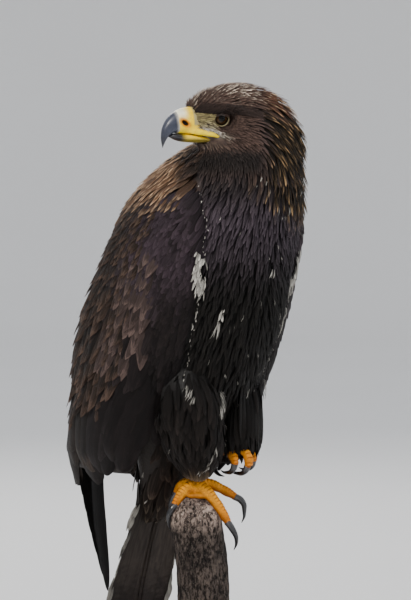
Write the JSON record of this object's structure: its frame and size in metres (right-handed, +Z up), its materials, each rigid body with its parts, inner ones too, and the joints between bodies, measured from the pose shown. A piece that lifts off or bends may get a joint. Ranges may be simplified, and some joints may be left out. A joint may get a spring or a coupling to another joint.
{
  "type": "golden eagle display model",
  "caption": "Immature golden eagle perched upright on the end of a cut branch, head turned over its right shoulder, on a rod and a round base.",
  "frame": {"origin": "centre of the round base's underside", "axes": "+Z up; the eagle's chest faces -Y, its left side is +X and its tail hangs towards +Y; the head is turned about 105 degrees to the eagle's right, so the bill points to -X"},
  "size_m": [0.35, 0.35, 0.7275],
  "materials": {
    "plumage_dark": "dark brown body, wing, leg and tail feathers with a faint purple-grey sheen",
    "plumage_gold": "brown head and neck feathers with golden and buff hackle tips",
    "eye": "wet dark brown eye",
    "bill_horn": "blue-grey horn, black at the hook",
    "cere_skin": "waxy yellow skin",
    "foot_skin": "scaly yellow skin",
    "claw_horn": "black horn",
    "perch_wood": "weathered grey bare wood with bark flecks",
    "stand_wood": "dark stained and waxed",
    "stand_metal": "satin steel rod"
  },
  "bodies": {
    "root": {"head": "plumage_gold", "neck": "plumage_gold", "trunk": "plumage_dark", "wing_left": "plumage_dark", "wing_right": "plumage_dark", "primaries_left": "plumage_dark", "primaries_right": "plumage_dark", "tail": "plumage_dark", "leg_left": "plumage_dark", "leg_right": "plumage_dark", "eye_left": "eye", "eye_right": "eye", "cere": "cere_skin", "bill_upper": "bill_horn", "bill_lower": "bill_horn", "foot_left": "foot_skin", "foot_right": "foot_skin", "toe_left_inner": "foot_skin", "claw_left_inner": "claw_horn", "toe_left_middle": "foot_skin", "claw_left_middle": "claw_horn", "toe_left_outer": "foot_skin", "claw_left_outer": "claw_horn", "toe_left_hind": "foot_skin", "claw_left_hind": "claw_horn", "toe_right_inner": "foot_skin", "claw_right_inner": "claw_horn", "toe_right_middle": "foot_skin", "claw_right_middle": "claw_horn", "toe_right_outer": "foot_skin", "claw_right_outer": "claw_horn", "toe_right_hind": "foot_skin", "claw_right_hind": "claw_horn", "perch_branch": "perch_wood", "stand_base": "stand_wood", "stand_rod": "stand_metal"}
  },
  "joints": []
}
